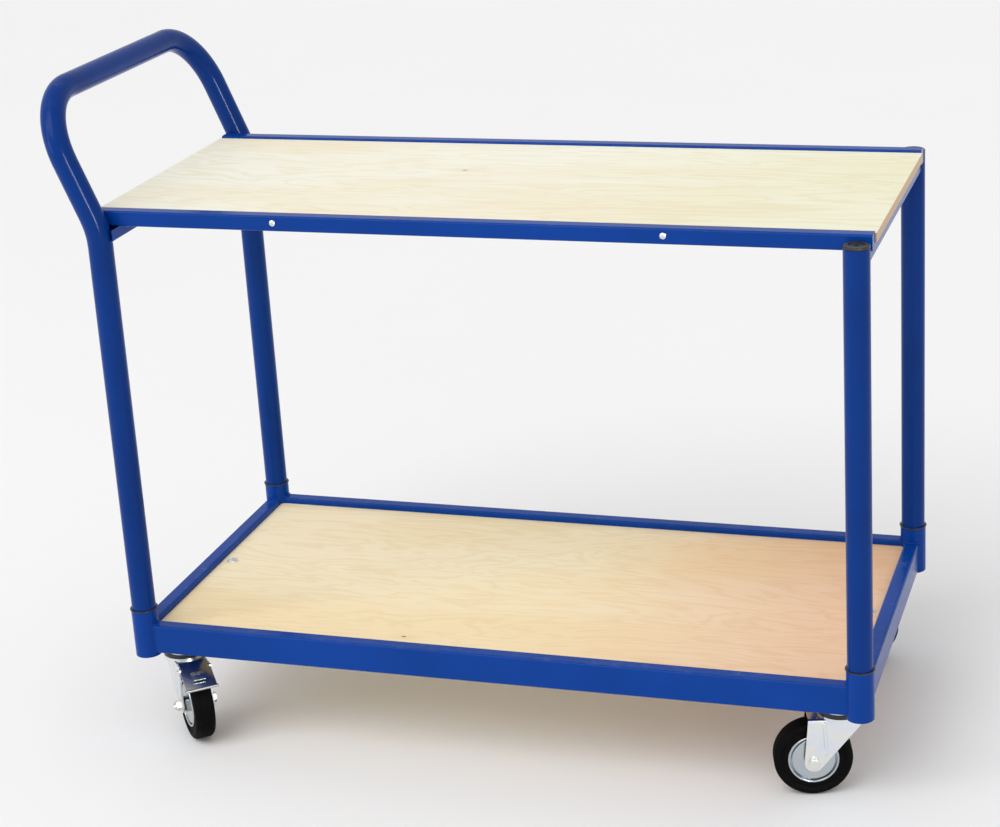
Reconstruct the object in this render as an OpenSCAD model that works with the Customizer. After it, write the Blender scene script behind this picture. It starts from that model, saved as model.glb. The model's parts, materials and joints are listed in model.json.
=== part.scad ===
// Two-shelf table trolley with a bent push handle and four swivel casters.
// Millimetres, +Z up. The origin is on the floor, under the middle of the whole trolley.
// The handle end is the rear (-X). Left and right are as seen by the person who pushes.

/* [Frame] */
// Distance between corner posts along the length
post_pitch_x = 965; // [700:5:1150]
// Distance between corner posts across the width
post_pitch_y = 450; // [400:5:600]
// Outer diameter of the posts and the handle tube
tube_d = 32; // [30:1:32]
// Wall of the posts and the handle tube
tube_wall = 1.5; // [1.5:0.5:2]
// Height of the deck frame rails
rail_h = 40; // [30:1:50]
// Width of the deck frame rails
rail_w = 20; // [15:1:22]
// Wall of all rectangular tubes
rail_wall = 1.5; // [1.5:0.5:2]
// Outer diameter of the corner sleeves that the posts stand in
sleeve_d = 35; // [35:0.5:38]
// How far the corner sleeves stand above the deck frame
sleeve_rise = 21; // [10:1:40]

/* [Boards] */
// Thickness of both plywood boards
board_t = 12; // [9:1:15]
// How far the deck board lies below the top of its frame
deck_drop = 8; // [3:1:12]
// How far the shelf board lies below the top of its rails
shelf_drop = 3; // [1:1:5]
// Length of the shelf board
shelf_board_l = 1000; // [720:5:1170]
// Distance between the two screws in each shelf rail
shelf_screw_pitch = 500; // [200:10:600]

/* [Shelf] */
// Height of the shelf rails' top above the deck frame's top
shelf_rise = 568; // [400:1:700]
// Side of the square shelf rails and bearers
shelf_rail = 20; // [20:1:25]
// Inset of the front bearer from the end of the shelf board
bearer_inset_front = 5; // [2:1:60]
// Inset of the rear bearer from the end of the shelf board
bearer_inset_rear = 18; // [2:1:60]
// Distance of the deck bearers' middle from the post line
deck_bearer_inset = 25; // [22:1:80]

/* [Handle] */
// Height of the kink in the legs above the deck frame's top
kink_rise = 546; // [380:1:650]
// Lean of the handle away from the shelf
lean = 22; // [10:1:35]
// Length from the kink to the crossbar, along the lean
lean_l = 181; // [160:1:260]
// Bend radius at the two hand corners, to the middle of the tube
hand_r = 85; // [60:1:110]
// Bend radius at the kinks, to the middle of the tube
kink_r = 100; // [50:1:110]

/* [Casters] */
// Wheel diameter
wheel_d = 100; // [100:1:100]
// Tyre width
tyre_w = 28; // [28:1:28]
// Height of a caster from the floor to the top of its bearing
caster_h = 125; // [125:1:125]
// Distance from the swivel axis to the wheel axle
trail = 35; // [32:1:36]
// Distance from the frame's end face to the swivel axis
caster_inset_x = 42.5; // [42:0.5:60]
// Distance from the frame's side face to the swivel axis
caster_inset_y = 50; // [50:1:70]
// Turn of the front right caster at rest
turn_front = 196; // [0:1:359]
// Turn of the rear right caster at rest
turn_rear = 310; // [0:1:359]

/* [Hidden] */
CORNERS = ["rear_right", "rear_left", "front_right", "front_left"];
FRAME_NODES = [
    "side_rail_right", "side_rail_left", "end_rail_rear", "end_rail_front", "corner_sleeves",
    "corner_plates", "post_collars", "handle_hoop", "front_post_right", "front_post_left", "post_caps",
    "shelf_rail_right", "shelf_rail_left", "shelf_bearers", "shelf_board", "shelf_screws",
    "deck_board", "deck_bearers", "deck_bolts", "kingpins"
];
CASTER_NODES = [
    "upper_race", "swivel_balls", "dust_ring", "fork", "axle", "wheel_bush", "wheel_disc", "tyre"
];
BRAKE_NODES = ["brake_pedal", "brake_shoe", "pedal_pin"];

paint_blue = "#1746a0";
zinc = "#c9ced3";
birch = "#efdfc3";
black_plastic = "#1b1b1d";
black_rubber = "#161616";

// Corner signs, in the order of CORNERS
SIDE_X = [-1, -1, 1, 1];
SIDE_Y = [-1, 1, -1, 1];
TURN = [turn_rear, -turn_rear, turn_front, -turn_front];

half_x = post_pitch_x / 2;
half_y = post_pitch_y / 2;
tube_r = tube_d / 2;
bore_r = tube_r - tube_wall;
sleeve_r = sleeve_d / 2;
sleeve_gap = 0.05;
corner_plate_t = 5;
frame_z = caster_h + corner_plate_t;
frame_top = frame_z + rail_h;
sleeve_top = frame_top + sleeve_rise;
collar_h = 1.8;
collar_r = sleeve_r + 1.2;
post_foot_z = frame_z + 5;
rail_corner = 3;
// A bent tube is very slightly fuller along its bends
bend_swell = 0.1;
bend_lap = 0.8;

deck_board_top = frame_top - deck_drop;
deck_board_z = deck_board_top - board_t;
deck_bearer_x = half_x - deck_bearer_inset;
deck_bolt_r = 3;

shelf_rail_top = frame_top + shelf_rise;
shelf_rail_mid = shelf_rail_top - shelf_rail / 2;
shelf_rail_y = half_y - tube_r - shelf_rail / 2;
shelf_inner_y = shelf_rail_y - shelf_rail / 2;
shelf_rail_l = post_pitch_x + tube_d;
shelf_board_top = shelf_rail_top - shelf_drop;
shelf_board_z = shelf_board_top - board_t;
shelf_bearer_z = shelf_board_z - shelf_rail / 2;
screw_r = 2;
screw_l = 36;
board_gap = 0.5;

post_top = shelf_rail_mid - 1;
cap_h = 4;

kink_z = frame_top + kink_rise;
kink_cut = kink_r * tan(lean / 2);
lean_leg = lean_l - hand_r;

// The whole trolley's middle, from the tips of the handle and the front end
rear_tip = half_x + lean_l * sin(lean) + tube_r;
front_tip = max(half_x + collar_r, shelf_board_l / 2);
mid_x = (rear_tip - front_tip) / 2;

caster_x = half_x + rail_w / 2 - caster_inset_x;
caster_y = half_y + rail_w / 2 - caster_inset_y;
plate_setback = 16;
plate_far_x = half_x + rail_w / 2 - plate_setback;
plate_far_y = half_y + rail_w / 2 - plate_setback;
plate_x = plate_far_x - caster_x + 38;
plate_y = plate_far_y - caster_y + 42;
wheel_r = wheel_d / 2;
crown_top = 110;
sheet = 2.5;
crown_z = crown_top - 3;
crown_r = 29;
fork_in = 19.5;
fork_out = fork_in + sheet;
fork_eye_r = 12;
ball_r = 3;
ball_z = 115;
ball_pitch_r = 18.5;
ball_count = 18;
race_gap = 0.1;
kingpin_r = 6;
axle_r = 4;
spacer_r = 6;
fit_gap = 0.05;
bush_r = 9;
rim_r = 32.5;

// Brake pedal: a line from its top edge to its rolled lip, in the fork's own plane
pin_x = 44;
pin_z = 103;
pin_r = 2.5;
pedal_top = [39, 112];
pedal_lip = [80, 90];
pedal_t = 2;
pedal_drop = atan2(pedal_top[1] - pedal_lip[1], pedal_lip[0] - pedal_top[0]);
pedal_l = norm(pedal_lip - pedal_top);
shoe_gap = 2.2;

// ---- shared shapes ----

module in_frame() {
    translate([mid_x, 0, 0]) children();
}

module rounded_rect(w, h, r) {
    square([w - 2 * r, h], center = true);
    square([w, h - 2 * r], center = true);
    for (sx = [-1, 1], sy = [-1, 1]) {
        translate([sx * (w / 2 - r), sy * (h / 2 - r)]) circle(r = r, $fn = 32);
    }
}

module box_section(w, h) {
    difference() {
        rounded_rect(w, h, rail_corner);
        rounded_rect(w - 2 * rail_wall, h - 2 * rail_wall, rail_corner - rail_wall);
    }
}

module box_tube_x(l, w, h) {
    rotate([90, 0, 90]) linear_extrude(l, center = true) box_section(w, h);
}

module box_tube_y(l, w, h) {
    rotate([90, 0, 0]) linear_extrude(l, center = true) box_section(w, h);
}

module ring(r_out, r_in, h) {
    difference() {
        cylinder(r = r_out, h = h, $fn = 96);
        translate([0, 0, -1]) cylinder(r = r_in, h = h + 2, $fn = 96);
    }
}

module at_posts() {
    for (sx = [-1, 1], sy = [-1, 1]) translate([sx * half_x, sy * half_y, 0]) children();
}

module at_front_posts() {
    for (sy = [-1, 1]) translate([half_x, sy * half_y, 0]) children();
}

module hex_prism(across, h) {
    cylinder(d = across / cos(30), h = h, $fn = 6);
}

// Hexagon head or nut with its corners turned off at the far end
module hex_head(across, h) {
    intersection() {
        hex_prism(across, h);
        union() {
            cylinder(d = 2 * across, h = h - 1, $fn = 48);
            translate([0, 0, h - 1]) cylinder(r1 = across / cos(30) / 2, r2 = across / 2 - 0.4, h = 1, $fn = 48);
        }
    }
}

// Pan head with a cross recess, on the XY plane
module pan_head(r, h) {
    difference() {
        rotate_extrude($fn = 48) intersection() {
            square([r, h]);
            translate([0, h - 1.6 * r]) circle(r = 1.6 * r, $fn = 96);
        }
        for (a = [0, 90]) rotate([0, 0, a]) translate([-r * 0.6, -r * 0.13, h - 1]) cube([r * 1.2, r * 0.26, 2]);
    }
}

// ---- deck frame ----

module side_rail(side) {
    color(paint_blue) in_frame() difference() {
        translate([0, side * half_y, frame_z + rail_h / 2]) box_tube_x(post_pitch_x, rail_w, rail_h);
        at_posts() translate([0, 0, frame_z - 1]) cylinder(r = sleeve_r, h = rail_h + 2, $fn = 96);
    }
}

module end_rail(end) {
    color(paint_blue) in_frame() difference() {
        translate([end * half_x, 0, frame_z + rail_h / 2]) box_tube_y(post_pitch_y, rail_w, rail_h);
        at_posts() translate([0, 0, frame_z - 1]) cylinder(r = sleeve_r, h = rail_h + 2, $fn = 96);
    }
}

module corner_sleeves() {
    color(paint_blue) in_frame() at_posts() translate([0, 0, caster_h]) {
        ring(sleeve_r, tube_r + sleeve_gap, sleeve_top - caster_h);
    }
}

module corner_plates() {
    color(paint_blue) in_frame() for (i = [0:3]) difference() {
        translate([SIDE_X[i] * (plate_far_x - plate_x / 2), SIDE_Y[i] * (plate_far_y - plate_y / 2), caster_h]) {
            linear_extrude(corner_plate_t) rounded_rect(plate_x, plate_y, 5);
        }
        at_swivel(i) cylinder(r = kingpin_r, h = 2 * caster_h, $fn = 48);
        at_posts() cylinder(r = sleeve_r, h = 2 * caster_h, $fn = 96);
    }
}

module post_collars() {
    lip_r = collar_h / 2;
    inner_r = tube_r + sleeve_gap;
    color(black_plastic) in_frame() at_posts() translate([0, 0, sleeve_top]) rotate_extrude($fn = 96) {
        translate([inner_r, 0]) square([collar_r - lip_r - inner_r, collar_h]);
        translate([collar_r - lip_r, lip_r]) circle(r = lip_r, $fn = 32);
    }
}

// ---- posts and handle ----

module front_post(side) {
    color(paint_blue) in_frame() translate([half_x, side * half_y, post_foot_z]) {
        ring(tube_r, bore_r, post_top - post_foot_z);
    }
}

module post_cap_section() {
    difference() {
        union() {
            square([bore_r - fit_gap, 12]);
            translate([0, 12]) square([tube_r - 1, cap_h]);
            translate([0, 13]) square([tube_r, cap_h - 2.5]);
            translate([tube_r - 1, 13]) circle(r = 1, $fn = 32);
            translate([tube_r - 1.5, 12 + cap_h - 1.5]) circle(r = 1.5, $fn = 32);
        }
        translate([0, 12 + cap_h - 1.2]) square([tube_r - 6, 2]);
        translate([0, 12 + cap_h - 3]) square([2.5, 4]);
        translate([-tube_r, 0]) square([tube_r, 40]);
    }
}

module post_caps() {
    color(black_plastic) in_frame() at_front_posts() translate([0, 0, post_top - 12]) {
        rotate_extrude($fn = 96) post_cap_section();
    }
}

// One bend of a round bar: it starts at the origin going up, and turns towards -X
module bar_bend(r, bend_r, angle) {
    translate([-bend_r, 0, 0]) rotate([90, 0, 0]) rotate_extrude(angle = angle, $fn = 96) {
        translate([bend_r, 0]) circle(r = r + bend_swell, $fn = 64);
    }
}

// The leaning half-hoop, upright in its own plane, with its legs' feet on the XY plane
module hand_bow(r) {
    leg_l = lean_leg - kink_cut;
    for (side = [-1, 1]) {
        translate([0, side * half_y, -bend_lap]) cylinder(r = r, h = leg_l + 2 * bend_lap, $fn = 64);
        translate([0, side * half_y, leg_l]) rotate([0, 0, side * 90]) bar_bend(r, hand_r, 90);
    }
    translate([0, half_y - hand_r + bend_lap, lean_l - kink_cut]) rotate([90, 0, 0]) {
        cylinder(r = r, h = post_pitch_y - 2 * hand_r + 2 * bend_lap, $fn = 64);
    }
}

module hoop_bar(r, foot_z) {
    kink_foot = kink_z - kink_cut;
    for (side = [-1, 1]) translate([-half_x, side * half_y, 0]) {
        translate([0, 0, foot_z]) cylinder(r = r, h = kink_foot - foot_z + bend_lap, $fn = 64);
        translate([0, 0, kink_foot]) bar_bend(r, kink_r, lean);
    }
    translate([-half_x - kink_r, 0, kink_foot]) rotate([0, -lean, 0]) translate([kink_r, 0, 0]) hand_bow(r);
}

module handle_hoop() {
    color(paint_blue) in_frame() difference() {
        hoop_bar(tube_r, post_foot_z);
        hoop_bar(bore_r, post_foot_z - 1);
    }
}

// ---- shelf ----

module shelf_rail(side) {
    color(paint_blue) in_frame() difference() {
        translate([0, side * shelf_rail_y, shelf_rail_mid]) {
            box_tube_x(shelf_rail_l, shelf_rail, shelf_rail);
            for (end = [-1, 1]) translate([end * (shelf_rail_l - 2 * rail_wall) / 2, 0, 0]) {
                rotate([90, 0, 90]) linear_extrude(2 * rail_wall, center = true) {
                    square(shelf_rail - 2 * rail_wall + 0.4, center = true);
                }
            }
        }
        at_shelf_screws() translate([0, 0, -1]) cylinder(r = screw_r + 0.2, h = shelf_rail + 2, $fn = 32);
    }
}

// Screw places on the outer faces of both shelf rails, +Z pointing inwards
module at_shelf_screws() {
    for (side = [-1, 1], sx = [-1, 1]) {
        translate([sx * shelf_screw_pitch / 2, side * (half_y - tube_r), shelf_board_z + board_t / 2]) {
            rotate([side * 90, 0, 0]) children();
        }
    }
}

module shelf_bearers() {
    l = post_pitch_y + 6;
    front_x = shelf_board_l / 2 - bearer_inset_front - shelf_rail / 2;
    rear_x = shelf_board_l / 2 - bearer_inset_rear - shelf_rail / 2;
    rail_z = shelf_rail_top - shelf_rail;
    color(paint_blue) in_frame() difference() {
        for (x = [front_x, -rear_x]) translate([x, 0, shelf_bearer_z]) box_tube_y(l, shelf_rail, shelf_rail);
        for (side = [-1, 1]) translate([0, side * (shelf_inner_y + l / 2), rail_z + l / 2]) {
            cube([2 * shelf_board_l, l, l], center = true);
        }
        at_posts() cylinder(r = tube_r, h = 2 * rail_z, $fn = 96);
    }
}

module shelf_board() {
    w = 2 * (shelf_inner_y - board_gap);
    color(birch) in_frame() difference() {
        translate([-shelf_board_l / 2, -w / 2, shelf_board_z]) cube([shelf_board_l, w, board_t]);
        at_shelf_screws() cylinder(r = screw_r, h = screw_l, $fn = 32);
    }
}

module shelf_screws() {
    color(zinc) in_frame() at_shelf_screws() {
        cylinder(r = screw_r, h = screw_l, $fn = 32);
        rotate([180, 0, 0]) pan_head(3.9, 2.4);
    }
}

// ---- deck ----

module deck_board() {
    l = post_pitch_x - rail_w - 2 * board_gap;
    w = post_pitch_y - rail_w - 2 * board_gap;
    color(birch) in_frame() difference() {
        translate([-l / 2, -w / 2, deck_board_z]) cube([l, w, board_t]);
        at_posts() translate([0, 0, deck_board_z - 1]) {
            cylinder(r = sleeve_r + board_gap, h = board_t + 2, $fn = 96);
        }
        at_deck_bolts() translate([0, 0, -board_t - 1]) cylinder(r = deck_bolt_r, h = board_t + 2, $fn = 32);
    }
}

// Bolt places on top of the deck board
module at_deck_bolts() {
    for (sx = [-1, 1]) translate([sx * deck_bearer_x, 0, deck_board_top]) children();
}

module deck_bearers() {
    h = deck_board_z - frame_z;
    color(paint_blue) in_frame() difference() {
        for (sx = [-1, 1]) translate([sx * deck_bearer_x, 0, frame_z + h / 2]) {
            box_tube_y(post_pitch_y - rail_w, shelf_rail, h);
        }
        at_deck_bolts() translate([0, 0, -rail_h]) cylinder(r = deck_bolt_r + 0.2, h = rail_h, $fn = 32);
    }
}

module deck_bolts() {
    grip = deck_board_top - frame_z;
    color(zinc) in_frame() at_deck_bolts() {
        translate([0, 0, -grip - 7]) cylinder(r = deck_bolt_r, h = grip + 7, $fn = 32);
        cylinder(r = 8, h = 1.2, $fn = 64);
        translate([0, 0, 1.2]) pan_head(6, 3);
        translate([0, 0, -grip]) rotate([180, 0, 0]) difference() {
            hex_head(10, 5);
            translate([0, 0, -1]) cylinder(r = deck_bolt_r, h = 7, $fn = 32);
        }
    }
}

// ---- casters ----

module at_swivel(i) {
    translate([SIDE_X[i] * caster_x, SIDE_Y[i] * caster_y, 0]) children();
}

// A caster's own frame: swivel axis at the origin, wheel towards +X
module at_caster(i) {
    in_frame() at_swivel(i) rotate([0, 0, TURN[i]]) children();
}

module at_wheel() {
    translate([trail, 0, wheel_r]) rotate([90, 0, 0]) children();
}

module upper_race(i) {
    race_z = ball_z + 1;
    color(zinc) in_frame() at_swivel(i) difference() {
        union() {
            translate([0, 0, caster_h - 3]) cylinder(r = crown_r + 0.5, h = 3, $fn = 96);
            translate([0, 0, race_z + 1]) cylinder(r = crown_r - 2, h = caster_h - race_z - 3, $fn = 96);
            translate([0, 0, race_z]) cylinder(r = 23.5, h = 2, $fn = 96);
        }
        ball_groove();
        translate([0, 0, ball_z]) cylinder(r = kingpin_r, h = 20, $fn = 48);
    }
}

module ball_groove() {
    translate([0, 0, ball_z]) rotate_extrude($fn = 96) {
        translate([ball_pitch_r, 0]) circle(r = ball_r + race_gap, $fn = 48);
    }
}

module swivel_balls(i) {
    color(zinc) in_frame() at_swivel(i) for (k = [0:ball_count - 1]) {
        rotate([0, 0, k * 360 / ball_count]) translate([ball_pitch_r, 0, ball_z]) sphere(r = ball_r, $fn = 32);
    }
}

module dust_ring(i) {
    color(black_plastic) in_frame() at_swivel(i) translate([0, 0, ball_z - 2.4]) {
        ring(crown_r - 0.5, 24, 4.4);
    }
}

module kingpins() {
    color(zinc) in_frame() for (i = [0:3]) at_swivel(i) {
        translate([0, 0, crown_z - 0.3]) cylinder(r = kingpin_r, h = frame_z - crown_z + 0.3, $fn = 48);
        translate([0, 0, crown_z - 0.3]) rotate([180, 0, 0]) hex_head(18, 5);
    }
}

// Outline of a fork's cheek, seen along the axle
module cheek_outline(i) {
    foot = [trail - 0.766 * fork_eye_r, wheel_r - 0.643 * fork_eye_r];
    polygon([[-24, crown_top], [42, crown_top], [trail + fork_eye_r, wheel_r], foot, [-24, 101.6]]);
    translate([trail, wheel_r]) circle(r = fork_eye_r, $fn = 64);
    if (i < 2) translate([pin_x, pin_z]) circle(r = 6, $fn = 48);
}

module fork_channel() {
    span = 160;
    rotate([90, 0, 90]) linear_extrude(200, center = true) difference() {
        translate([0, crown_top - span / 2]) rounded_rect(2 * fork_out, span, 4);
        translate([0, crown_z - span / 2]) rounded_rect(2 * fork_in, span, 1.5);
    }
}

module cheek_rib(side) {
    top = [22, 104];
    low = [19, 62];
    difference() {
        translate([low[0], side * (fork_in + 0.9), low[1]]) {
            rotate([0, atan2(top[0] - low[0], top[1] - low[1]), 0]) {
                cylinder(r = 3, h = norm(top - low), $fn = 32);
                sphere(r = 3, $fn = 32);
                translate([0, 0, norm(top - low)]) sphere(r = 3, $fn = 32);
            }
        }
        translate([-50, -fork_in, 0]) cube([120, 2 * fork_in, 120]);
    }
}

module fork(i) {
    color(zinc) at_caster(i) difference() {
        union() {
            intersection() {
                fork_channel();
                rotate([90, 0, 0]) linear_extrude(100, center = true) cheek_outline(i);
            }
            translate([0, 0, crown_z]) cylinder(r = crown_r, h = crown_top - crown_z, $fn = 96);
            translate([0, 0, crown_top]) ring(crown_r, crown_r - 2, 2.2);
            translate([0, 0, crown_top]) cylinder(r = 23.5, h = ball_z - 1 - crown_top, $fn = 96);
            for (side = [-1, 1]) cheek_rib(side);
        }
        ball_groove();
        translate([0, 0, crown_z - 1]) cylinder(r = kingpin_r + fit_gap, h = 20, $fn = 48);
        at_wheel() translate([0, 0, -50]) cylinder(r = axle_r + fit_gap, h = 100, $fn = 48);
        if (i < 2) {
            translate([37, -fork_in, crown_z - 2]) cube([20, 2 * fork_in, 10]);
            translate([pin_x, 50, pin_z]) rotate([90, 0, 0]) cylinder(r = pin_r, h = 100, $fn = 32);
        }
    }
}

module axle(i) {
    color(zinc) at_caster(i) at_wheel() {
        translate([0, 0, -fork_out]) rotate([180, 0, 0]) hex_head(13, 5.3);
        translate([0, 0, -fork_out]) cylinder(r = axle_r, h = 2 * fork_out + 9.5, $fn = 48);
        difference() {
            translate([0, 0, -fork_in]) cylinder(r = spacer_r, h = 2 * fork_in, $fn = 48);
            translate([0, 0, -fork_in - 1]) cylinder(r = axle_r + fit_gap, h = 2 * fork_in + 2, $fn = 48);
        }
        translate([0, 0, fork_out]) difference() {
            union() {
                hex_head(13, 6.5);
                cylinder(r = 5.4, h = 8, $fn = 48);
            }
            translate([0, 0, -1]) cylinder(r = axle_r, h = 12, $fn = 48);
        }
    }
}

module wheel_bush(i) {
    half = fork_in - 0.2;
    color(black_plastic) at_caster(i) at_wheel() translate([0, 0, -half]) {
        ring(bush_r, spacer_r + fit_gap, 2 * half);
    }
}

// Half of the pressed wheel centre, from the middle plane outwards
module disc_half_section() {
    gap_r = 29.4;
    face_r = 27.6;
    translate([rim_r - 1.5, 0]) square([1.5, 12.4]);
    translate([gap_r, 5]) square([rim_r - gap_r, 7.4]);
    translate([(gap_r + rim_r) / 2, 12.4]) circle(r = (rim_r - gap_r) / 2, $fn = 32);
    translate([face_r - 1.5, 5]) square([gap_r - face_r + 3, 1.5]);
    translate([face_r - 1.5, 5]) square([1.5, 6.5]);
    translate([bush_r, 11]) square([face_r - 1 - bush_r, 1.5]);
    translate([face_r - 1, 11.5]) circle(r = 1, $fn = 24);
    translate([bush_r, 0]) square([2, 16.5]);
}

module wheel_disc(i) {
    color(zinc) at_caster(i) at_wheel() rotate_extrude($fn = 96) {
        disc_half_section();
        mirror([0, 1]) disc_half_section();
    }
}

module tyre_section() {
    shoulder = 6;
    half = tyre_w / 2;
    difference() {
        union() {
            translate([rim_r, 2 - half]) square([wheel_r - shoulder - rim_r, tyre_w - 4]);
            translate([rim_r + 4, shoulder - half]) square([wheel_r - rim_r - 4, tyre_w - 2 * shoulder]);
            for (s = [-1, 1]) translate([wheel_r - shoulder, s * (half - shoulder)]) circle(r = shoulder, $fn = 64);
        }
        for (y = [-6, -2, 2, 6]) translate([wheel_r + 0.2, y]) circle(r = 0.8, $fn = 24);
    }
}

module tyre(i) {
    color(black_rubber) at_caster(i) at_wheel() rotate_extrude($fn = 128) tyre_section();
}

// ---- brake ----

// The pedal's own plane: +X runs down the tread plate from its top edge, +Z stands on it
module on_pedal() {
    translate([pedal_top[0], 0, pedal_top[1]]) rotate([0, pedal_drop, 0]) children();
}

module brake_pedal(i) {
    neck_w = 2 * fork_in - 1;
    neck_l = 14;
    pad_w = 42;
    ear_t = 2;
    color(zinc) at_caster(i) difference() {
        union() {
            on_pedal() {
                translate([0, -neck_w / 2, -pedal_t]) cube([neck_l + 2, neck_w, pedal_t]);
                translate([neck_l, -pad_w / 2, -pedal_t]) cube([pedal_l - neck_l, pad_w, pedal_t]);
                translate([pedal_l, pad_w / 2 + 2, -pedal_t / 2]) rotate([90, 0, 0]) {
                    cylinder(r = 1.6, h = pad_w + 4, $fn = 32);
                }
                translate([19, -8, -0.8]) rotate([0, -pedal_drop, 0]) cube([8, 16, 1.2]);
                translate([19 + 7.6 * cos(pedal_drop), -8, -0.8 + 7.6 * sin(pedal_drop)]) cube([9, 16, 1.2]);
            }
            for (s = [-1, 1]) translate([0, s * (neck_w / 2 - ear_t / 2), 0]) {
                rotate([90, 0, 0]) linear_extrude(ear_t, center = true) {
                    translate([pin_x, pin_z]) circle(r = 5, $fn = 48);
                    polygon([[pin_x - 5, pin_z], [pin_x + 5, pin_z], [pin_x + 5, 107], [pin_x - 5, 109.5]]);
                }
            }
        }
        on_pedal() translate([22, -9, -pedal_t - 1]) cube([8, 18, pedal_t + 0.5]);
        translate([pin_x, 50, pin_z]) rotate([90, 0, 0]) cylinder(r = pin_r + fit_gap, h = 100, $fn = 32);
    }
}

module brake_shoe(i) {
    color(black_rubber) at_caster(i) difference() {
        on_pedal() translate([17, -10, -pedal_t - 6]) cube([17, 20, 6]);
        translate([trail, 50, wheel_r]) rotate([90, 0, 0]) {
            cylinder(r = wheel_r + shoe_gap, h = 100, $fn = 128);
        }
    }
}

module pedal_pin(i) {
    half = fork_out + 1.5;
    color(zinc) at_caster(i) translate([pin_x, 0, pin_z]) rotate([90, 0, 0]) {
        translate([0, 0, -half]) cylinder(r = pin_r, h = 2 * half, $fn = 32);
    }
}

// ---- the parts ----

side_rail(-1);  // side_rail_right
side_rail(1);  // side_rail_left
end_rail(-1);  // end_rail_rear
end_rail(1);  // end_rail_front
corner_sleeves();
corner_plates();
post_collars();
handle_hoop();
front_post(-1);  // front_post_right
front_post(1);  // front_post_left
post_caps();
shelf_rail(-1);  // shelf_rail_right
shelf_rail(1);  // shelf_rail_left
shelf_bearers();
shelf_board();
shelf_screws();
deck_board();
deck_bearers();
deck_bolts();
kingpins();
for (i = [0:3]) {
    upper_race(i);
    swivel_balls(i);
    dust_ring(i);
    fork(i);
    axle(i);
    wheel_bush(i);
    wheel_disc(i);
    tyre(i);
}
for (i = [0:1]) {
    brake_pedal(i);
    brake_shoe(i);
    pedal_pin(i);
}
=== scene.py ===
"""Finishes, weld seams and studio of a two-shelf table trolley."""

import json
import math

import bpy
from bpy.props import FloatProperty, FloatVectorProperty, IntProperty, PointerProperty
from mathutils import Matrix, Vector


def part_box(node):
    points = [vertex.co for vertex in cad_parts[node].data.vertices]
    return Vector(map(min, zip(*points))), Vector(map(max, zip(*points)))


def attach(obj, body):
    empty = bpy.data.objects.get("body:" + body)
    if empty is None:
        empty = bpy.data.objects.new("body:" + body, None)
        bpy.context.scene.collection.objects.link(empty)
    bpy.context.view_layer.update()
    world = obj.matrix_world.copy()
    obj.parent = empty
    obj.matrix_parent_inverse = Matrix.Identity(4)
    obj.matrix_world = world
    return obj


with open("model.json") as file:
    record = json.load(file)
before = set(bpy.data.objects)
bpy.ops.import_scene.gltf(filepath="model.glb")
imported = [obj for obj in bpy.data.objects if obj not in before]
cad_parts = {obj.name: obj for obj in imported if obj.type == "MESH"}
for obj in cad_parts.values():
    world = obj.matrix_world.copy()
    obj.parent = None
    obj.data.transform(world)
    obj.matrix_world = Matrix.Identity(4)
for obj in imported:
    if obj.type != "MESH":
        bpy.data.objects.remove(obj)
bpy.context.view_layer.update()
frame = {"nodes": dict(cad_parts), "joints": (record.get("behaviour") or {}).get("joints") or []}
NODES = frame["nodes"]

bl_info = {
    "name": "Table trolley finishes",
    "version": (1, 0, 0),
    "blender": (4, 5, 0),
    "location": "View3D > Sidebar > Trolley",
    "description": "Paint, plywood, plating, rubber and weld seams for a two-shelf table trolley",
    "category": "Object",
}

REAR_CORNERS = ("rear_right", "rear_left")

# Metres
BEARER_WIDTH = 0.020
SHELF_SEAM_OFFSET = 0.0052
PEDAL_LIP_RADIUS = 0.0016
PEDAL_RIDGE_ROW_HALF = 0.0215
PEDAL_RIDGE_HALF_SIZE = 0.0015
# Part of the pitch that a bead or a ridge reaches to either side: beads overlap, ridges stand apart
BEAD_SHARE = 1.0
RIDGE_SHARE = 0.3


# ---- shader maths ----


class Shade:
    """A number, colour or vector that varies over a surface. Python maths on it adds shader nodes."""

    def __init__(self, recipe, socket):
        self.recipe = recipe
        self.socket = socket

    def maths(self, operation, first, second=None):
        values = {0: first} if second is None else {0: first, 1: second}
        return self.recipe.node("ShaderNodeMath", {"operation": operation}, values)

    def __add__(self, other):
        return self.maths("ADD", self, other)

    def __radd__(self, other):
        return self.maths("ADD", other, self)

    def __sub__(self, other):
        return self.maths("SUBTRACT", self, other)

    def __rsub__(self, other):
        return self.maths("SUBTRACT", other, self)

    def __mul__(self, other):
        return self.maths("MULTIPLY", self, other)

    def __rmul__(self, other):
        return self.maths("MULTIPLY", other, self)

    def __truediv__(self, other):
        return self.maths("DIVIDE", self, other)

    def __pow__(self, other):
        return self.maths("POWER", self, other)

    def __abs__(self):
        return self.maths("ABSOLUTE", self)

    def fraction(self):
        return self.maths("FRACT", self)

    def ease(self, start, end, low=0.0, high=1.0):
        """Smooth step: low before start, high after end."""
        settings = {"interpolation_type": "SMOOTHSTEP"}
        values = {0: self, 1: start, 2: end, 3: low, 4: high}
        return self.recipe.node("ShaderNodeMapRange", settings, values)


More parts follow.
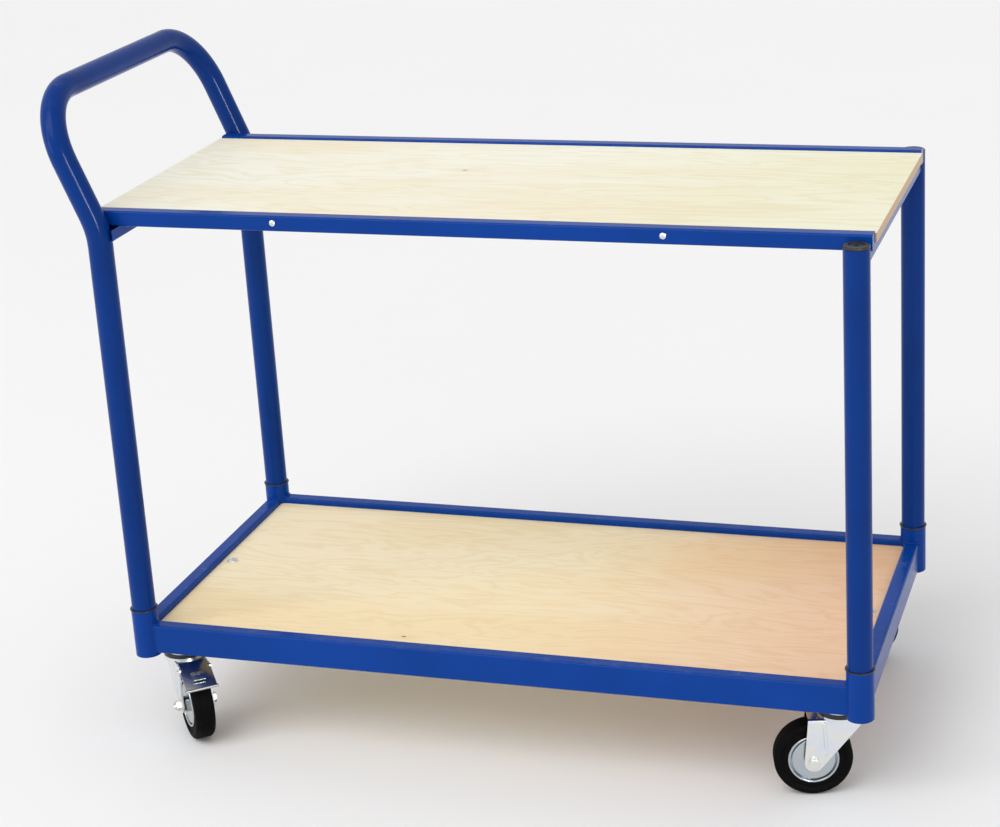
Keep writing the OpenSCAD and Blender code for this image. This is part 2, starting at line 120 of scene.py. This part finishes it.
class Recipe:
    """One material, built from the surface's own coordinates."""

    def __init__(self, name):
        self.material = bpy.data.materials.new(name)
        self.material.use_nodes = True
        self.tree = self.material.node_tree
        self.tree.nodes.clear()
        self.output = self.tree.nodes.new("ShaderNodeOutputMaterial")
        self.place = self.node("ShaderNodeTexCoord", out="Object")

    def feed(self, socket, value):
        if isinstance(value, Shade):
            self.tree.links.new(value.socket, socket)
        elif isinstance(value, (tuple, list)) and socket.type == "RGBA" and len(value) == 3:
            socket.default_value = (*value, 1.0)
        else:
            socket.default_value = value

    def node(self, kind, settings=None, values=None, out=0):
        """Adds one node: its settings come first, then what its sockets hold or are linked to."""
        made = self.tree.nodes.new(kind)
        for name, value in (settings or {}).items():
            if name == "stops":
                self.set_stops(made.color_ramp, value)
            else:
                setattr(made, name, value)
        for key, value in (values or {}).items():
            self.feed(made.inputs[key], value)
        return Shade(self, made.outputs[out])

    def set_stops(self, ramp, stops):
        while len(ramp.elements) < len(stops):
            ramp.elements.new(1.0)
        for element, (position, colour) in zip(ramp.elements, stops):
            element.position = position
            element.color = (*colour, 1.0)

    def axes(self, vector=None):
        """The three parts of a vector, in metres for a place on the surface."""
        parts = self.tree.nodes.new("ShaderNodeSeparateXYZ")
        self.feed(parts.inputs[0], vector or self.place)
        return [Shade(self, out) for out in parts.outputs]

    def facing(self):
        """Which way the surface faces, in the piece's own axes."""
        normal = self.node("ShaderNodeTexCoord", out="Normal")
        return self.axes(normal)

    def stretched(self, scale, turn=(0.0, 0.0, 0.0), shift=(0.0, 0.0, 0.0)):
        values = {"Vector": self.place, "Scale": scale, "Rotation": turn, "Location": shift}
        return self.node("ShaderNodeMapping", {"vector_type": "POINT"}, values)

    def noise(self, scale, detail=2.0, vector=None, roughness=0.5, warp=0.0):
        values = {"Vector": vector or self.place, "Scale": scale, "Detail": detail, "Roughness": roughness}
        values["Distortion"] = warp
        return self.node("ShaderNodeTexNoise", {"noise_dimensions": "3D"}, values)

    def cells(self, scale, feature="F1", vector=None, out="Distance", spread=1.0):
        values = {"Vector": vector or self.place, "Scale": scale, "Randomness": spread}
        return self.node("ShaderNodeTexVoronoi", {"feature": feature}, values, out)

    def blend(self, factor, first, second, mode="MIX"):
        settings = {"data_type": "RGBA", "blend_type": mode, "clamp_factor": True}
        return self.node("ShaderNodeMix", settings, {0: factor, 6: first, 7: second}, 2)

    def ramp(self, factor, stops):
        return self.node("ShaderNodeValToRGB", {"stops": stops}, {0: factor})

    def bump(self, height, depth, strength=1.0, under=None):
        values = {"Height": height, "Distance": depth, "Strength": strength}
        if under is not None:
            values["Normal"] = under
        return self.node("ShaderNodeBump", {}, values)

    def finish(self, **values):
        """Closes the material with one surface shader; names use _ for a space."""
        named = {name.replace("_", " "): value for name, value in values.items()}
        surface = self.node("ShaderNodeBsdfPrincipled", {}, named)
        self.feed(self.output.inputs["Surface"], surface)
        return self.material


# ---- finishes ----


def powder_coat(name, colour):
    """Glossy powder coat over tube: a faint orange peel, slow drifts of tone and a little shop dust."""
    r = Recipe(name)
    drift = r.noise(7.0, 3.0).ease(0.3, 0.7)
    peel = r.noise(520.0, 2.0)
    swell = r.noise(95.0, 1.0)
    dark = tuple(c * 0.86 for c in colour)
    paint = r.blend(drift, dark, colour)
    up = r.facing()[2].ease(0.6, 0.95)
    dust = r.noise(38.0, 4.0, roughness=0.7).ease(0.5, 0.75) * up
    paint = r.blend(dust * 0.05, paint, (0.55, 0.58, 0.66))
    sheen = 0.16 + drift * 0.05 + dust * 0.10
    skin = r.bump(swell, 0.00025, 0.35, r.bump(peel, 0.00006, 0.5))
    return r.finish(Base_Color=paint, Roughness=sheen, Normal=skin, Specular_IOR_Level=0.11)


def birch_board(name, pale, warm, line, box, knot, blush):
    """Rotary-cut birch plywood: broad figure and fine fibre along the board, layered edges and a pin knot."""
    r = Recipe(name)
    low, high = box
    x, y, z = r.axes()
    face = abs(r.facing()[2]).ease(0.5, 0.8)
    figure = r.noise(1.0, 3.0, r.stretched((2.2, 11.0, 30.0), shift=(3.1, 1.7, 0.0)), 0.55, 1.4)
    bands = (figure * 9.0 + y * 26.0).fraction()
    rings = abs(bands - 0.5).ease(0.02, 0.30)
    fibre = r.noise(1.0, 4.0, r.stretched((22.0, 620.0, 620.0)), 0.6)
    pores = r.stretched((55.0, 1500.0, 900.0), shift=(0.4, 0.2, 0.0))
    vessel = r.noise(1.0, 2.0, pores, 0.5).ease(0.60, 0.72)
    patch = r.noise(1.0, 3.0, r.stretched((1.6, 5.5, 5.0), shift=(0.7, 2.3, 0.0)), 0.5).ease(0.42, 0.68)
    wood = r.blend(patch * 0.8, pale, warm)
    wood = r.blend((1.0 - rings) * 0.30, wood, line)
    wood = r.blend(fibre.ease(0.35, 0.75) * 0.22 + vessel * 0.16, wood, line)
    away = ((x - knot[0]) ** 2.0 + ((y - knot[1]) * 2.2) ** 2.0) ** 0.5
    eye = away.ease(0.0018, 0.0050, 1.0, 0.0)
    halo = away.ease(0.004, 0.035, 1.0, 0.0) * 0.35
    wood = r.blend(halo, wood, line)
    wood = r.blend(eye * 0.85, wood, (0.10, 0.055, 0.025))
    plies = ((z - low[2]) / (high[2] - low[2]) * 4.5).fraction()
    layer = (abs(plies - 0.5) * 2.0).ease(0.25, 0.75)
    grit = r.noise(900.0, 3.0)
    edge = r.blend(layer, (0.80, 0.62, 0.46), (0.62, 0.44, 0.30))
    edge = r.blend(grit.ease(0.35, 0.7) * 0.25, edge, (0.40, 0.27, 0.17))
    wood = r.blend((x - low[0]).ease(0.45, 0.95), wood, blush, "MULTIPLY")
    colour = r.blend(face, edge, wood)
    grain = fibre * 0.7 + vessel * -0.5 + rings * 0.15
    skin = r.bump(grain, 0.00012, 0.35, r.bump(r.noise(160.0, 2.0), 0.00012, 0.2))
    rough = 0.62 + fibre * 0.10 + (1.0 - face) * 0.20
    return r.finish(Base_Color=colour, Roughness=rough, Normal=skin, Specular_IOR_Level=0.12)


def zinc_plate(name, colour, rough):
    """Bright zinc plating on pressed steel: cloudy crystals, faint warm and cool tints and rolling marks."""
    r = Recipe(name)
    clouds = r.noise(45.0, 4.0, roughness=0.6, warp=0.6)
    flakes = r.cells(420.0)
    cool = tuple(c * k for c, k in zip(colour, (0.94, 0.97, 1.06)))
    warm = tuple(c * k for c, k in zip(colour, (1.03, 1.0, 0.93)))
    metal = r.blend(clouds.ease(0.35, 0.65), cool, warm)
    metal = r.blend(flakes.ease(0.2, 0.9) * 0.10, metal, tuple(c * 0.8 for c in colour))
    drawn = r.noise(1.0, 2.0, r.stretched((900.0, 900.0, 40.0)))
    stain = r.noise(120.0, 5.0, roughness=0.7).ease(0.62, 0.80)
    metal = r.blend(stain * 0.35, metal, (0.42, 0.42, 0.44))
    skin = r.bump(drawn, 0.00003, 0.35, r.bump(clouds, 0.0004, 0.12))
    roughness = rough + clouds * 0.14 + stain * 0.12
    return r.finish(Base_Color=metal, Metallic=1.0, Roughness=roughness, Normal=skin)


def tyre_rubber(name):
    """Black solid rubber: fine moulding grain, with pale dust on the tread."""
    r = Recipe(name)
    grain = r.noise(900.0, 3.0)
    smears = r.noise(60.0, 4.0, roughness=0.7)
    dust = smears.ease(0.5, 0.8) * 0.08
    rubber = r.blend(dust, (0.003, 0.003, 0.0032), (0.05, 0.048, 0.046))
    skin = r.bump(grain, 0.00008, 0.5, r.bump(smears, 0.0002, 0.15))
    return r.finish(Base_Color=rubber, Roughness=0.52 + smears * 0.18, Normal=skin, Specular_IOR_Level=0.05)


def black_moulding(name, rough, shade):
    """Moulded black plastic: fine spark-eroded grain and a soft sheen."""
    r = Recipe(name)
    grain = r.noise(1400.0, 2.0)
    smears = r.noise(80.0, 3.0)
    plastic = r.blend(smears.ease(0.4, 0.75) * 0.4, shade, tuple(c * 2.2 + 0.006 for c in shade))
    skin = r.bump(grain, 0.00005, 0.5)
    return r.finish(Base_Color=plastic, Roughness=rough + smears * 0.14, Normal=skin)


def studio_floor(name, colour):
    """Matt pale floor paper."""
    r = Recipe(name)
    mottling = r.noise(1.2, 3.0).ease(0.3, 0.7)
    paper = r.blend(mottling, tuple(c * 0.992 for c in colour), colour)
    return r.finish(Base_Color=paper, Roughness=0.92, Normal=r.bump(r.noise(350.0, 2.0), 0.0001, 0.1))


def dress(material, *names):
    """Gives CAD nodes a finish."""
    for name in names:
        data = NODES[name].data
        data.materials.clear()
        data.materials.append(material)


def named(*stems):
    """Every CAD node whose name starts with one of the stems."""
    return [name for name in sorted(NODES) if name.startswith(stems)]


# ---- seams and ridges that follow a line ----


def group_with(name, inputs):
    """A node tree with a geometry input and output and its named number and material inputs."""
    tree = bpy.data.node_groups.new(name, "GeometryNodeTree")
    tree.interface.new_socket("Geometry", in_out="INPUT", socket_type="NodeSocketGeometry")
    for label, kind, value in inputs:
        socket = tree.interface.new_socket(label, in_out="INPUT", socket_type=kind)
        if value is not None:
            socket.default_value = value
    tree.interface.new_socket("Geometry", in_out="OUTPUT", socket_type="NodeSocketGeometry")
    return tree


class Weave:
    """Adds geometry nodes to a tree in a line or two each."""

    def __init__(self, tree):
        self.tree = tree
        self.entry = tree.nodes.new("NodeGroupInput")
        self.exit = tree.nodes.new("NodeGroupOutput")

    def add(self, kind, settings=None, values=None, out=0):
        made = self.tree.nodes.new(kind)
        for name, value in (settings or {}).items():
            setattr(made, name, value)
        for key, value in (values or {}).items():
            if isinstance(value, bpy.types.NodeSocket):
                self.tree.links.new(value, made.inputs[key])
            else:
                made.inputs[key].default_value = value
        return made.outputs[out]


def row_tree(name, shape):
    """A tree that sets one small shape after another along the edges of a mesh."""
    inputs = [
        ("Pitch", "NodeSocketFloat", 0.002),
        ("Width", "NodeSocketFloat", 0.002),
        ("Height", "NodeSocketFloat", 0.001),
        ("Unevenness", "NodeSocketFloat", 0.15),
        ("Seed", "NodeSocketInt", 7),
        ("Finish", "NodeSocketMaterial", None),
    ]
    tree = group_with(name, inputs)
    w = Weave(tree)
    given = w.entry.outputs
    curve = w.add("GeometryNodeMeshToCurve", {}, {0: given["Geometry"]})
    spacing = {"Curve": curve, "Length": given["Pitch"]}
    points = w.add("GeometryNodeCurveToPoints", {"mode": "LENGTH"}, spacing)
    turn = points.node.outputs["Rotation"]
    if shape == "bead":
        unit = w.add("GeometryNodeMeshUVSphere", {}, {"Segments": 10, "Rings": 6, "Radius": 1.0})
    else:
        unit = w.add("GeometryNodeMeshCube", {}, {"Size": (2.0, 2.0, 2.0)})
    share = BEAD_SHARE if shape == "bead" else RIDGE_SHARE
    length = w.add("ShaderNodeMath", {"operation": "MULTIPLY"}, {0: given["Pitch"], 1: share})
    size = w.add("ShaderNodeCombineXYZ", {}, {0: given["Width"], 1: given["Height"], 2: length})
    least = w.add("ShaderNodeMath", {"operation": "SUBTRACT"}, {0: 1.0, 1: given["Unevenness"]})
    chance = w.add(
        "FunctionNodeRandomValue",
        {"data_type": "FLOAT"},
        {"Min": least, "Max": 1.0, "Seed": given["Seed"]},
        1,
    )
    placed = w.add(
        "GeometryNodeInstanceOnPoints",
        {},
        {"Points": points, "Instance": unit, "Rotation": turn, "Scale": size},
    )
    scaled = w.add("GeometryNodeScaleInstances", {}, {"Instances": placed})
    uneven = w.add("ShaderNodeCombineXYZ", {}, {0: chance, 1: chance, 2: 1.0})
    tree.links.new(uneven, scaled.node.inputs["Scale"])
    real = w.add("GeometryNodeRealizeInstances", {}, {0: scaled})
    smooth = w.add("GeometryNodeSetShadeSmooth", {}, {"Geometry": real, "Shade Smooth": shape == "bead"})
    done = w.add("GeometryNodeSetMaterial", {}, {"Geometry": smooth, "Material": given["Finish"]})
    tree.links.new(done, w.exit.inputs[0])
    return tree


def row_along(name, lines, tree, **inputs):
    """Runs a row tree along polylines and returns the result as a plain mesh object."""
    data = bpy.data.meshes.new(name + "_lines")
    points, edges = [], []
    for line in lines:
        start = len(points)
        points.extend(line)
        edges.extend((k, k + 1) for k in range(start, len(points) - 1))
    data.from_pydata([tuple(p) for p in points], edges, [])
    guide = bpy.data.objects.new(name + "_guide", data)
    bpy.context.scene.collection.objects.link(guide)
    modifier = guide.modifiers.new("row", "NODES")
    modifier.node_group = tree
    for item in tree.interface.items_tree:
        label = item.name.lower()
        if item.in_out == "INPUT" and label in inputs:
            modifier[item.identifier] = inputs[label]
    graph = bpy.context.evaluated_depsgraph_get()
    made = bpy.data.meshes.new_from_object(guide.evaluated_get(graph), depsgraph=graph)
    made.name = name
    piece = bpy.data.objects.new(name, made)
    bpy.context.scene.collection.objects.link(piece)
    bpy.data.objects.remove(guide)
    if not made.polygons:
        raise RuntimeError(f"{name}: the row made no faces")
    return piece


def arc(centre, radius, start, end, z, steps=10):
    """Points on a level arc, with its angles in degrees."""
    points = []
    for k in range(steps + 1):
        a = math.radians(start + (end - start) * k / steps)
        points.append((centre[0] + radius * math.cos(a), centre[1] + radius * math.sin(a), z))
    return points


def frame_seams():
    """Where the deck frame's rails meet the corner sleeves: up both sides and over the top."""
    lines = []
    sleeve_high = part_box("corner_sleeves")[1]
    side_low, side_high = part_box("side_rail_right")
    end_low, end_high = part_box("end_rail_front")
    half_width = (end_high.x - end_low.x) / 2
    radius = sleeve_high.x - end_high.x + half_width
    post_y = (side_low.y + side_high.y) / 2
    front_x = (end_low.x + end_high.x) / 2
    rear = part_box("end_rail_rear")
    rear_x = (rear[0].x + rear[1].x) / 2
    z0, z1 = side_low.z, side_high.z
    spread = math.degrees(math.asin(half_width / radius))
    reach = radius * math.cos(math.radians(spread))
    for px, inward_x in ((rear_x, 1), (front_x, -1)):
        for py, inward_y in ((post_y, 1), (-post_y, -1)):
            centre = (px, py)
            for s in (-1, 1):
                foot = (px + inward_x * reach, py + s * half_width)
                lines.append([(*foot, z0 + 0.001), (*foot, z1 - 0.003)])
                foot = (px + s * half_width, py + inward_y * reach)
                lines.append([(*foot, z0 + 0.001), (*foot, z1 - 0.003)])
            toward_x = 0 if inward_x > 0 else 180
            toward_y = 90 if inward_y > 0 else -90
            for a in (toward_x, toward_y):
                lines.append(arc(centre, radius, a - spread + 4, a + spread - 4, z1))
    return lines


def shelf_seams():
    """Where the shelf rails stand against the posts, and where the bearers meet the rails."""
    lines = []
    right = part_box("shelf_rail_right")
    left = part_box("shelf_rail_left")
    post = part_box("front_post_right")
    radius = (post[1].x - post[0].x) / 2
    front_x = (post[0].x + post[1].x) / 2
    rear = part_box("end_rail_rear")
    rear_x = (rear[0].x + rear[1].x) / 2
    for y, outward in ((right[0].y, -1), (left[1].y, 1)):
        for px in (rear_x, front_x):
            for s in (-1, 1):
                dy = radius - math.sqrt(radius**2 - SHELF_SEAM_OFFSET**2)
                at = (px + s * SHELF_SEAM_OFFSET, y + outward * dy * 0.5)
                top = min(post[1].z, right[1].z) - 0.002
                lines.append([(*at, right[0].z + 0.001), (*at, top)])
    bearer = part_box("shelf_bearers")
    for y in (right[1].y, left[0].y):
        for x0 in (bearer[0].x, bearer[1].x - BEARER_WIDTH):
            lines.append([(x0 + 0.003, y, right[0].z), (x0 + 0.017, y, right[0].z)])
    return lines


def plate_seams():
    """Short seams between the corner plates and the frame's underside."""
    lines = []
    low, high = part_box("corner_plates")
    side_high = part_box("side_rail_right")[1]
    end_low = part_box("end_rail_front")[0]
    rear_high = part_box("end_rail_rear")[1]
    z = high.z
    for y in (side_high.y, -side_high.y):
        for x, run in ((low.x + 0.034, 1), (high.x - 0.034, -1)):
            lines.append([(x, y, z), (x + run * 0.026, y, z)])
    for x in (rear_high.x, end_low.x):
        for y, run in ((low.y + 0.0155, 1), (high.y - 0.0155, -1)):
            for k in (0, 1):
                y0 = y + run * k * 0.030
                lines.append([(x, y0, z), (x, y0 + run * 0.020, z)])
    return lines


# ---- settings ----


class TrolleyFinishes(bpy.types.PropertyGroup):
    """Colours and seam sizes of the trolley."""

    paint: FloatVectorProperty(
        name="Powder coat",
        description="Colour of the tube frame",
        subtype="COLOR",
        size=3,
        default=(0.002, 0.050, 0.31),
        min=0,
        max=1,
    )
    # Both boards are the same birch: the shelf board's paler, cooler tone holds painted light.
    shelf_wood_painted_light: FloatVectorProperty(
        name="Shelf board",
        description="Palest tone of the shelf board",
        subtype="COLOR",
        size=3,
        default=(0.93, 0.925, 0.81),
        min=0,
        max=1,
    )
    # The deck board's warmer, deeper tone holds painted shade from the shelf above it.
    deck_wood_painted_shade: FloatVectorProperty(
        name="Deck board",
        description="Palest tone of the deck board",
        subtype="COLOR",
        size=3,
        default=(0.94, 0.835, 0.61),
        min=0,
        max=1,
    )
    zinc: FloatVectorProperty(
        name="Zinc",
        description="Colour of the plated parts",
        subtype="COLOR",
        size=3,
        default=(0.80, 0.82, 0.82),
        min=0,
        max=1,
    )
    bead_width: FloatProperty(
        name="Bead width",
        description="Half the width of a weld bead",
        unit="LENGTH",
        default=0.0016,
        min=0.0005,
        max=0.004,
    )
    bead_pitch: FloatProperty(
        name="Bead pitch",
        description="Distance between a weld bead's ripples",
        unit="LENGTH",
        default=0.0014,
        min=0.0005,
        max=0.004,
    )
    ridge_pitch: FloatProperty(
        name="Ridge pitch",
        description="Distance between the ridges on a pedal's lip",
        unit="LENGTH",
        default=0.0026,
        min=0.001,
        max=0.006,
    )
    seed: IntProperty(name="Seed", description="Seed of the beads' unevenness", default=7, min=0)


class TrolleyStudio(bpy.types.PropertyGroup):
    """Floor, lights and camera."""

    floor_colour: FloatVectorProperty(
        name="Floor",
        description="Colour of the floor paper",
        subtype="COLOR",
        size=3,
        default=(0.90, 0.90, 0.905),
        min=0,
        max=1,
    )
    floor_size: FloatProperty(
        name="Floor size", description="Side of the floor", unit="LENGTH", default=60.0, min=4.0
    )
    sky: FloatProperty(
        name="Room light", description="Strength of the even light from all round", default=0.755, min=0.0
    )
    key: FloatProperty(
        name="Top light", description="Strength of the wide light overhead", default=0.98, min=0.0
    )
    side: FloatProperty(
        name="Side light",
        description="Power of the tall light at the side",
        unit="POWER",
        default=14.0,
        min=0.0,
    )
    strip: FloatProperty(
        name="Strip light",
        description="Power of the narrow upright light, seen only in reflections",
        unit="POWER",
        default=120.0,
        min=0.0,
    )
    lens: FloatProperty(name="Lens", description="Focal length", unit="CAMERA", default=82.34, min=10.0)


# ---- operators ----


class TROLLEY_OT_paint_frame(bpy.types.Operator):
    """Powder-coat the welded frame, the posts and the handle"""

    bl_idname = "trolley.paint_frame"
    bl_label = "Paint the frame"

    def execute(self, context):
        colour = tuple(context.scene.trolley_finishes.paint)
        coat = powder_coat("blue_powder_coat", colour)
        # The posts and the handle get a darker copy of the frame's coat: painted shade, for upright tubes
        # that look darker than the rails.
        shaded_tube_coat = powder_coat("blue_powder_coat_tube_painted_shade", tuple(c * 0.74 for c in colour))
        dress(coat, *named("side_rail", "end_rail", "corner_", "shelf_rail", "shelf_bearers", "deck_bearers"))
        dress(shaded_tube_coat, *named("front_post", "handle_hoop"))
        return {"FINISHED"}


class TROLLEY_OT_lay_boards(bpy.types.Operator):
    """Give the shelf and the deck their birch plywood"""

    bl_idname = "trolley.lay_boards"
    bl_label = "Lay the boards"

    def execute(self, context):
        finishes = context.scene.trolley_finishes
        # The tones differ by painted light on the shelf board and painted shade on the deck board under it.
        for node, colour, knot, blush in (
            ("shelf_board", tuple(finishes.shelf_wood_painted_light), (-0.05, 0.045), (0.96, 0.965, 0.88)),
            ("deck_board", tuple(finishes.deck_wood_painted_shade), (-0.095, -0.187), (0.91, 0.70, 0.67)),
        ):
            warm = tuple(c * k for c, k in zip(colour, (0.98, 0.89, 0.76)))
            line = tuple(c * k for c, k in zip(colour, (0.86, 0.72, 0.54)))
            wood = birch_board("birch_" + node, colour, warm, line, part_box(node), knot, blush)
            dress(wood, node)
        return {"FINISHED"}


class TROLLEY_OT_plate_casters(bpy.types.Operator):
    """Zinc-plate the casters, pedals, screws and bolts"""

    bl_idname = "trolley.plate_casters"
    bl_label = "Plate the casters"

    def execute(self, context):
        colour = tuple(context.scene.trolley_finishes.zinc)
        sheet = zinc_plate("zinc_sheet", colour, 0.14)
        bolt = zinc_plate("zinc_fastener", tuple(c * 0.94 for c in colour), 0.26)
        ball = zinc_plate("bearing_steel", tuple(c * 0.96 for c in colour), 0.08)
        centre = zinc_plate("zinc_wheel", tuple(c * k for c, k in zip(colour, (0.62, 0.66, 0.69))), 0.16)
        pedal = zinc_plate("zinc_pedal", tuple(c * 0.60 for c in colour), 0.14)
        dress(sheet, *named("upper_race", "fork"))
        dress(centre, *named("wheel_disc"))
        dress(pedal, *named("brake_pedal"))
        dress(bolt, *named("shelf_screws", "deck_bolts"))
        dress(bolt, *named("kingpins", "axle", "pedal_pin"))
        dress(ball, *named("swivel_balls"))
        return {"FINISHED"}


class TROLLEY_OT_mould_blacks(bpy.types.Operator):
    """Give the tyres, shoes, bushes, caps and collars their rubber and plastic"""

    bl_idname = "trolley.mould_blacks"
    bl_label = "Mould rubber and plastic"

    def execute(self, context):
        dress(tyre_rubber("tyre_rubber"), *named("tyre"))
        dress(black_moulding("shoe_rubber", 0.6, (0.02, 0.02, 0.02)), *named("brake_shoe"))
        dress(black_moulding("bush_nylon", 0.45, (0.03, 0.03, 0.033)), *named("wheel_bush"))
        cap = black_moulding("black_plastic", 0.32, (0.016, 0.016, 0.017))
        dress(cap, *named("post_c", "dust_ring"))
        return {"FINISHED"}


class TROLLEY_OT_run_welds(bpy.types.Operator):
    """Run the weld beads along the frame's and the shelf's joints"""

    bl_idname = "trolley.run_welds"
    bl_label = "Run the weld beads"

    def execute(self, context):
        finishes = context.scene.trolley_finishes
        tree = row_tree("weld_bead", "bead")
        coat = bpy.data.materials["blue_powder_coat"]
        for name, lines, width in (
            ("weld_beads_frame", frame_seams(), finishes.bead_width),
            ("weld_beads_shelf", shelf_seams(), finishes.bead_width * 0.9),
            ("weld_beads_plates", plate_seams(), finishes.bead_width * 1.1),
        ):
            beads = row_along(
                name,
                lines,
                tree,
                pitch=finishes.bead_pitch,
                width=width,
                height=width,
                unevenness=0.16,
                seed=finishes.seed,
                finish=coat,
            )
            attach(beads, "frame")
        return {"FINISHED"}


class TROLLEY_OT_roll_pedal_lips(bpy.types.Operator):
    """Press the ridges into the brake pedals' lips"""

    bl_idname = "trolley.roll_pedal_lips"
    bl_label = "Ridge the pedal lips"

    def execute(self, context):
        finishes = context.scene.trolley_finishes
        tree = row_tree("pedal_ridges", "ridge")
        for corner in REAR_CORNERS:
            pedal = NODES["brake_pedal_" + corner]
            joint = next(j for j in frame["joints"] if j["name"] == "brake_" + corner)
            across = Vector(joint["axis"]).normalized()
            forward = Vector((across.y, -across.x, 0.0))
            tip = max((v.co for v in pedal.data.vertices), key=lambda p: p.dot(forward))
            pin = Vector(joint["pos_m"])
            reach = (tip - pin).dot(forward) - PEDAL_LIP_RADIUS
            low = min(v.co.z for v in pedal.data.vertices)
            drop = pedal_lip_height(pedal, forward, pin + forward * reach)
            middle = pin + forward * reach
            middle.z = drop if drop else low + PEDAL_LIP_RADIUS
            line = [tuple(middle + across * PEDAL_RIDGE_ROW_HALF * s) for s in (-1, 1)]
            ridges = row_along(
                "pedal_ridges_" + corner,
                [line],
                tree,
                pitch=finishes.ridge_pitch,
                width=PEDAL_RIDGE_HALF_SIZE,
                height=PEDAL_RIDGE_HALF_SIZE,
                unevenness=0.0,
                seed=1,
                finish=bpy.data.materials["zinc_pedal"],
            )
            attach(ridges, "pedal_" + corner)
        return {"FINISHED"}


def pedal_lip_height(pedal, forward, near):
    """Middle height of the pedal's rolled lip."""
    reach = near.dot(forward)
    heights = [v.co.z for v in pedal.data.vertices if abs(v.co.dot(forward) - reach) < 0.0018]
    return (min(heights) + max(heights)) / 2 if heights else None


class TROLLEY_OT_set_studio(bpy.types.Operator):
    """Lay the floor, hang the lights and set up the camera"""

    bl_idname = "trolley.set_studio"
    bl_label = "Set the studio"

    def execute(self, context):
        scene = context.scene
        studio = scene.trolley_studio
        scene.view_settings.view_transform = "Standard"
        scene.view_settings.look = "None"
        half = studio.floor_size / 2
        data = bpy.data.meshes.new("studio_floor")
        corners = [(-half, -half, 0), (half, -half, 0), (half, half, 0), (-half, half, 0)]
        data.from_pydata(corners, [], [(0, 1, 2, 3)])
        data.materials.append(studio_floor("floor_paper", tuple(studio.floor_colour)))
        floor = bpy.data.objects.new("studio_floor", data)
        scene.collection.objects.link(floor)
        world = bpy.data.worlds.new("room_light")
        world.use_nodes = True
        sky = world.node_tree.nodes["Background"]
        sky.inputs["Color"].default_value = (1.0, 1.0, 1.0, 1.0)
        sky.inputs["Strength"].default_value = studio.sky
        scene.world = world
        hang_wide_light("top_light", (-0.35, -0.75, 1.0), 40.0, studio.key)
        hang_light("side_light", (-2.6, -1.9, 1.7), (0.0, 0.0, 0.5), (0.8, 2.2), studio.side)
        strip = hang_light("strip_light", (3.0, -3.6, 1.9), (-0.4, 0.0, 0.8), (0.16, 1.8), studio.strip)
        strip.visible_diffuse = False
        camera_data = bpy.data.cameras.new("view_camera")
        camera_data.sensor_fit = "HORIZONTAL"
        camera_data.sensor_width = 36.0
        camera_data.lens = studio.lens
        camera_data.shift_x = -0.06176
        camera_data.shift_y = -0.05792
        camera_data.clip_start = 0.05
        camera_data.clip_end = 200.0
        camera = bpy.data.objects.new("view_camera", camera_data)
        scene.collection.objects.link(camera)
        deck_low, deck_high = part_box("deck_board")
        stand = ((deck_low.x + deck_high.x) / 2 + 0.906422, -2.725352, 1.476744)
        camera.matrix_world = camera_place(stand, 0.3038668, 0.3301545, -0.0529967)
        scene.camera = camera
        return {"FINISHED"}


def hang_light(name, place, target, size, power):
    """A soft rectangular light that faces a point."""
    data = bpy.data.lights.new(name, "AREA")
    data.shape = "RECTANGLE"
    data.size, data.size_y = size
    data.energy = power
    light = bpy.data.objects.new(name, data)
    bpy.context.scene.collection.objects.link(light)
    light.location = place
    light.rotation_mode = "QUATERNION"
    light.rotation_quaternion = (Vector(target) - Vector(place)).to_track_quat("-Z", "Y")
    return light


def hang_wide_light(name, source, spread, strength):
    """A far, wide and soft light that shines from a direction, with its spread in degrees."""
    data = bpy.data.lights.new(name, "SUN")
    data.angle = math.radians(spread)
    data.energy = strength
    light = bpy.data.objects.new(name, data)
    bpy.context.scene.collection.objects.link(light)
    light.rotation_mode = "QUATERNION"
    light.rotation_quaternion = (-Vector(source)).to_track_quat("-Z", "Y")
    return light


def camera_place(location, heading, dip, roll):
    """The camera's place: heading left of +Y, dip below level, and roll about its view, in radians."""
    ahead = Vector((-math.sin(heading) * math.cos(dip), math.cos(heading) * math.cos(dip), -math.sin(dip)))
    right = Vector((math.cos(heading), math.sin(heading), 0.0))
    up = right.cross(ahead)
    right_rolled = math.cos(roll) * right + math.sin(roll) * up
    up_rolled = -math.sin(roll) * right + math.cos(roll) * up
    turn = Matrix((right_rolled, up_rolled, -ahead)).transposed().to_4x4()
    return Matrix.Translation(location) @ turn


class TROLLEY_PT_finishes(bpy.types.Panel):
    """The trolley's finishes, in the order they are put on"""

    bl_idname = "TROLLEY_PT_finishes"
    bl_label = "Table trolley"
    bl_space_type = "VIEW_3D"
    bl_region_type = "UI"
    bl_category = "Trolley"

    def draw(self, context):
        for group in (context.scene.trolley_finishes, context.scene.trolley_studio):
            for name in group.bl_rna.properties.keys():
                if name not in ("rna_type", "name"):
                    self.layout.prop(group, name)
        for operator in STEPS:
            self.layout.operator(operator.bl_idname)


STEPS = (
    TROLLEY_OT_paint_frame,
    TROLLEY_OT_lay_boards,
    TROLLEY_OT_plate_casters,
    TROLLEY_OT_mould_blacks,
    TROLLEY_OT_run_welds,
    TROLLEY_OT_roll_pedal_lips,
    TROLLEY_OT_set_studio,
)
CLASSES = (TrolleyFinishes, TrolleyStudio, *STEPS, TROLLEY_PT_finishes)


def register():
    for kind in CLASSES:
        bpy.utils.register_class(kind)
    bpy.types.Scene.trolley_finishes = PointerProperty(type=TrolleyFinishes)
    bpy.types.Scene.trolley_studio = PointerProperty(type=TrolleyStudio)


def unregister():
    del bpy.types.Scene.trolley_studio
    del bpy.types.Scene.trolley_finishes
    for kind in reversed(CLASSES):
        bpy.utils.unregister_class(kind)


def main():
    register()
    for step in STEPS:
        group, name = step.bl_idname.split(".")
        getattr(getattr(bpy.ops, group), name)()


if __name__ == "__main__":
    main()
